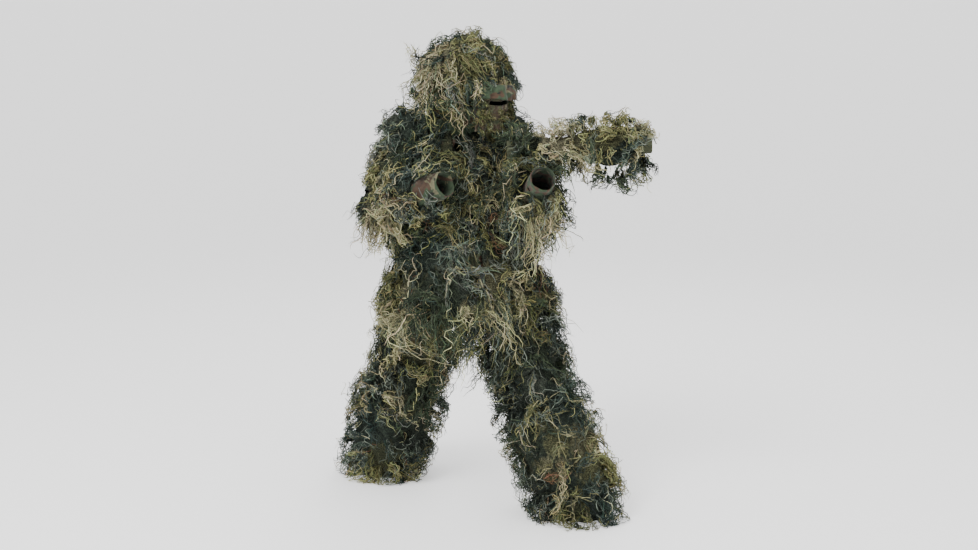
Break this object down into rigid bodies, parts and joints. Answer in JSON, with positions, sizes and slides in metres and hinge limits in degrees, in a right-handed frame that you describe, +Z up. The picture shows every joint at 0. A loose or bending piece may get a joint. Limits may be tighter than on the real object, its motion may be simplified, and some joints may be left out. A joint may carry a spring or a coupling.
{
  "type": "ghillie suit",
  "caption": "Hooded camouflage jacket and trousers covered in shaggy threads, in a worn standing shape, with a thread-covered wrap for a long tool.",
  "frame": {"origin": "the middle of the jacket's shoulder yoke, where the wearer's shoulders hold the suit up", "axes": "+Z up, +X to the wearer's left side, +Y to the wearer's back"},
  "size_m": [1.1554, 0.8991, 1.752],
  "materials": {
    "woodland_cloth": "matt polyester and cotton weave, printed in a woodland pattern",
    "brown_cloth": "matt woven cloth in the brown of the woodland pattern",
    "dark_threads": "matt jute and polyester threads, near-black green",
    "forest_threads": "matt threads, forest green",
    "olive_threads": "matt threads, olive",
    "moss_threads": "matt threads, moss and light tan",
    "webbing": "ribbed elastic and webbing, dark olive",
    "zip_teeth": "moulded coil",
    "dark_metal": "blackened"
  },
  "bodies": {
    "suit": {"collar": "woodland_cloth", "hem_fringe_back": "moss_threads", "hem_fringe_front_left": "moss_threads", "hem_fringe_front_right": "moss_threads", "jacket_back": "woodland_cloth", "jacket_back_threads": "dark_threads", "jacket_front_left": "woodland_cloth", "jacket_front_left_threads": "olive_threads", "jacket_front_right": "woodland_cloth", "jacket_front_right_threads": "forest_threads", "left_shoulder_threads": "dark_threads", "right_shoulder_threads": "forest_threads", "trouser_seat": "woodland_cloth", "waistband": "webbing", "zip_chain": "zip_teeth", "zip_stop": "dark_metal", "zip_tape_left": "webbing", "zip_tape_right": "webbing"},
    "hood": {"hood": "woodland_cloth", "hood_brim": "brown_cloth", "hood_threads": "olive_threads", "veil_snap_left": "dark_metal", "veil_snap_right": "dark_metal"},
    "veil": {"face_veil": "brown_cloth"},
    "zip_slider": {"zip_slider": "dark_metal"},
    "zip_pull": {"zip_pull": "dark_metal"},
    "right_upper_arm": {"right_upper_sleeve": "woodland_cloth", "right_upper_sleeve_threads": "olive_threads", "right_elbow_threads": "dark_threads"},
    "right_forearm": {"right_forearm_sleeve": "woodland_cloth", "right_forearm_threads": "dark_threads", "right_cuff": "woodland_cloth"},
    "right_thigh": {"right_thigh": "woodland_cloth", "right_thigh_threads": "dark_threads", "right_knee_threads": "olive_threads"},
    "right_shin": {"right_shin": "woodland_cloth", "right_shin_threads": "forest_threads", "right_hem_band": "webbing"},
    "left_upper_arm": {"left_upper_sleeve": "woodland_cloth", "left_upper_sleeve_threads": "forest_threads", "left_elbow_threads": "olive_threads"},
    "left_forearm": {"left_forearm_sleeve": "woodland_cloth", "left_forearm_threads": "moss_threads", "left_cuff": "woodland_cloth"},
    "left_thigh": {"left_thigh": "woodland_cloth", "left_thigh_threads": "forest_threads", "left_knee_threads": "dark_threads"},
    "left_shin": {"left_shin": "woodland_cloth", "left_shin_threads": "olive_threads", "left_hem_band": "webbing"},
    "wrap": {"wrap_sleeve": "woodland_cloth", "wrap_threads": "moss_threads", "wrap_band_rear": "webbing", "wrap_band_front": "webbing"}
  },
  "joints": [
    {"name": "hood_fold", "type": "hinge", "parent": "suit", "child": "hood", "pos_m": [0.01, 0.118, 0.02], "axis": [-0.9781, -0.2079, 0], "range_deg": [0, 35]},
    {"name": "veil_lift", "type": "hinge", "parent": "hood", "child": "veil", "pos_m": [0.17059, -0.17575, 0.129], "axis": [-0.788, -0.6157, 0], "range_deg": [0, 100]},
    {"name": "zip_slide", "type": "slide", "parent": "suit", "child": "zip_slider", "axis": [0.1298, -0.1871, -0.9737], "range_m": [0, 0.44]},
    {"name": "zip_pull_swing", "type": "hinge", "parent": "zip_slider", "child": "zip_pull", "pos_m": [0.04252, -0.16114, -0.18652], "axis": [-0.9705, -0.2253, -0.0861], "range_deg": [0, 100]},
    {"name": "right_shoulder", "type": "hinge", "parent": "suit", "child": "right_upper_arm", "pos_m": [-0.16, -0.02, -0.055], "axis": [-0.2079, 0.9781, 0], "range_deg": [0, 30]},
    {"name": "right_elbow", "type": "hinge", "parent": "right_upper_arm", "child": "right_forearm", "pos_m": [-0.245, -0.14, -0.305], "axis": [0.6835, 0.5397, -0.4915], "range_deg": [0, 40]},
    {"name": "left_shoulder", "type": "hinge", "parent": "suit", "child": "left_upper_arm", "pos_m": [0.186, 0.034, -0.055], "axis": [0.2079, -0.9781, 0], "range_deg": [0, 18]},
    {"name": "left_elbow", "type": "hinge", "parent": "left_upper_arm", "child": "left_forearm", "pos_m": [0.27, -0.12, -0.33], "axis": [0.9563, 0.2495, 0.1524], "range_deg": [0, 40]},
    {"name": "right_hip", "type": "hinge", "parent": "suit", "child": "right_thigh", "pos_m": [-0.035, 0.02, -0.58], "axis": [-0.9781, -0.2079, 0], "range_deg": [-6, 8]},
    {"name": "right_knee", "type": "hinge", "parent": "right_thigh", "child": "right_shin", "pos_m": [-0.19, 0.15, -0.96], "axis": [0.9556, 0.2645, -0.1297], "range_deg": [0, 30]},
    {"name": "left_hip", "type": "hinge", "parent": "suit", "child": "left_thigh", "pos_m": [0.165, -0.02, -0.58], "axis": [-0.9781, -0.2079, 0], "range_deg": [-8, 4]},
    {"name": "left_knee", "type": "hinge", "parent": "left_thigh", "child": "left_shin", "pos_m": [0.3, -0.095, -0.96], "axis": [0.918, 0.2826, 0.2782], "range_deg": [0, 30]},
    {"name": "wrap_slide", "type": "slide", "parent": "suit", "child": "wrap", "axis": [0.9992, 0, 0.0406], "range_m": [0, 0.08]}
  ]
}
